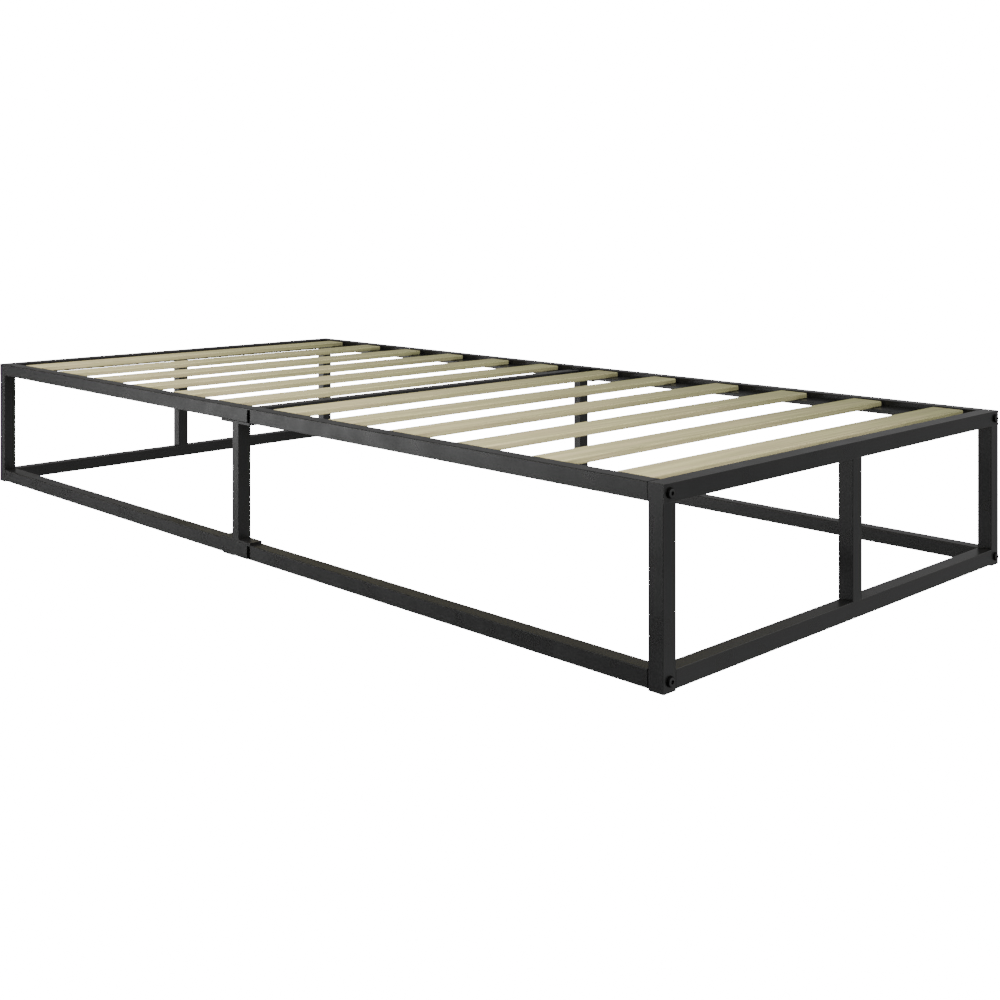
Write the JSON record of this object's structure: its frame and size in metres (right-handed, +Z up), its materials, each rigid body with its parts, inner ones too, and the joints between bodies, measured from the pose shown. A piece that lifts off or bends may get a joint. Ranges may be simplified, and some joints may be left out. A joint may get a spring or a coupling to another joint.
{
  "type": "metal bed frame",
  "caption": "Low single bed frame of square black steel tube with wooden slats across it, bolted together at the corners.",
  "frame": {"origin": "on the floor, under the middle of the frame", "axes": "+X along the length towards the foot end, +Y across the width towards the back side, +Z up"},
  "size_m": [1.9088, 0.9, 0.261],
  "materials": {
    "frame_paint": "satin black powder coat",
    "slat_wood": "unvarnished planed wood, grain along each slat",
    "bolt_black": "black oxide",
    "joint_black": "matt black, as moulded",
    "cap_plastic": "fine textured black plastic",
    "zinc_steel": "zinc plated"
  },
  "bodies": {
    "root": {"back_bottom_joint_sleeve": "joint_black", "back_crossbar_stub": "frame_paint", "back_foot_bottom_rail": "frame_paint", "back_foot_slat_ledge": "frame_paint", "back_foot_top_rail": "frame_paint", "back_head_bottom_rail": "frame_paint", "back_head_slat_ledge": "frame_paint", "back_head_top_rail": "frame_paint", "back_lower_leg_plate": "frame_paint", "back_middle_foot": "cap_plastic", "back_middle_leg": "frame_paint", "back_top_joint_sleeve": "joint_black", "back_upper_leg_plate": "frame_paint", "corner_bolts": "bolt_black", "crossbar": "frame_paint", "crossbar_screws": "bolt_black", "foot_back_foot_cap": "cap_plastic", "foot_back_post": "frame_paint", "foot_bottom_rail": "frame_paint", "foot_front_foot_cap": "cap_plastic", "foot_front_post": "frame_paint", "foot_top_rail": "frame_paint", "foot_upright": "frame_paint", "front_bottom_joint_sleeve": "joint_black", "front_crossbar_stub": "frame_paint", "front_foot_bottom_rail": "frame_paint", "front_foot_slat_ledge": "frame_paint", "front_foot_top_rail": "frame_paint", "front_head_bottom_rail": "frame_paint", "front_head_slat_ledge": "frame_paint", "front_head_top_rail": "frame_paint", "front_lower_leg_plate": "frame_paint", "front_middle_foot": "cap_plastic", "front_middle_leg": "frame_paint", "front_top_joint_sleeve": "joint_black", "front_upper_leg_plate": "frame_paint", "head_back_foot_cap": "cap_plastic", "head_back_post": "frame_paint", "head_bottom_rail": "frame_paint", "head_front_foot_cap": "cap_plastic", "head_front_post": "frame_paint", "head_top_rail": "frame_paint", "head_upright": "frame_paint", "joint_screws": "zinc_steel", "rail_end_plugs": "joint_black", "slat_01": "slat_wood", "slat_02": "slat_wood", "slat_03": "slat_wood", "slat_04": "slat_wood", "slat_05": "slat_wood", "slat_06": "slat_wood", "slat_07": "slat_wood", "slat_08": "slat_wood", "slat_09": "slat_wood", "slat_10": "slat_wood", "slat_11": "slat_wood", "slat_12": "slat_wood", "slat_screws": "zinc_steel", "top_rail_end_plates": "frame_paint"}
  },
  "joints": []
}
